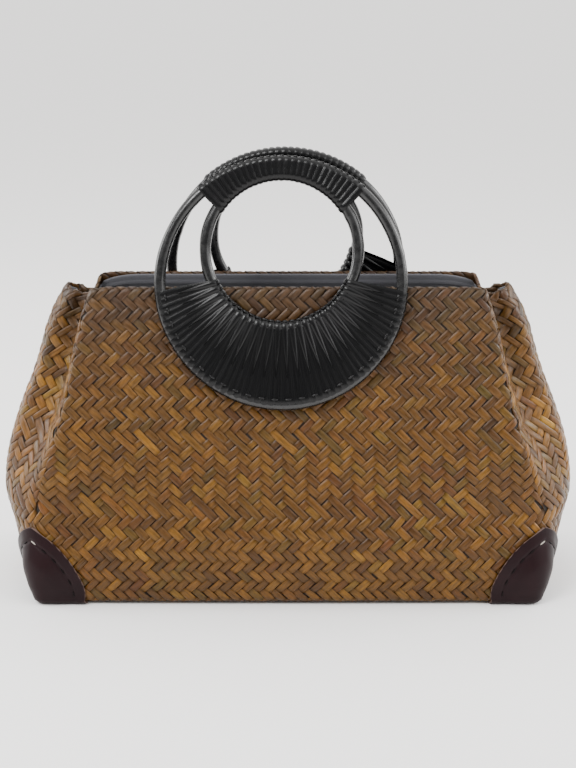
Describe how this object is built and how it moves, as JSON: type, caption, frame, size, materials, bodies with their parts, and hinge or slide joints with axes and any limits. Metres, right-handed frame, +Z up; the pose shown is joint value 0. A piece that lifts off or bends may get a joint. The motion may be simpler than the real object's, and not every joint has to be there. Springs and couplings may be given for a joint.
{
  "type": "straw basket bag",
  "caption": "Woven straw basket bag with folded ends, dark cloth lining, stitched leather corners and black double-ring cane handles.",
  "frame": {"origin": "middle of the bag's footprint, on the ground", "axes": "+X to the right along the mouth seen from the front, +Y towards the back panel, +Z up"},
  "size_m": [0.4196, 0.1522, 0.3132],
  "materials": {
    "straw": "waxed woven plant strip",
    "lining": "matte woven cloth",
    "leather": "smooth, half gloss",
    "cane": "black gloss lacquer on cane",
    "wound_strip": "black lacquered flat strip"
  },
  "bodies": {
    "root": {"basket": "straw", "lining": "lining", "corner_front_left": "leather", "corner_front_right": "leather", "corner_back_left": "leather", "corner_back_right": "leather", "front_outer_ring": "cane", "front_hand_ring": "cane", "front_grip_wrap": "wound_strip", "front_crescent_wrap": "wound_strip", "back_outer_ring": "cane", "back_hand_ring": "cane", "back_grip_wrap": "wound_strip", "back_crescent_wrap": "wound_strip"}
  },
  "joints": []
}
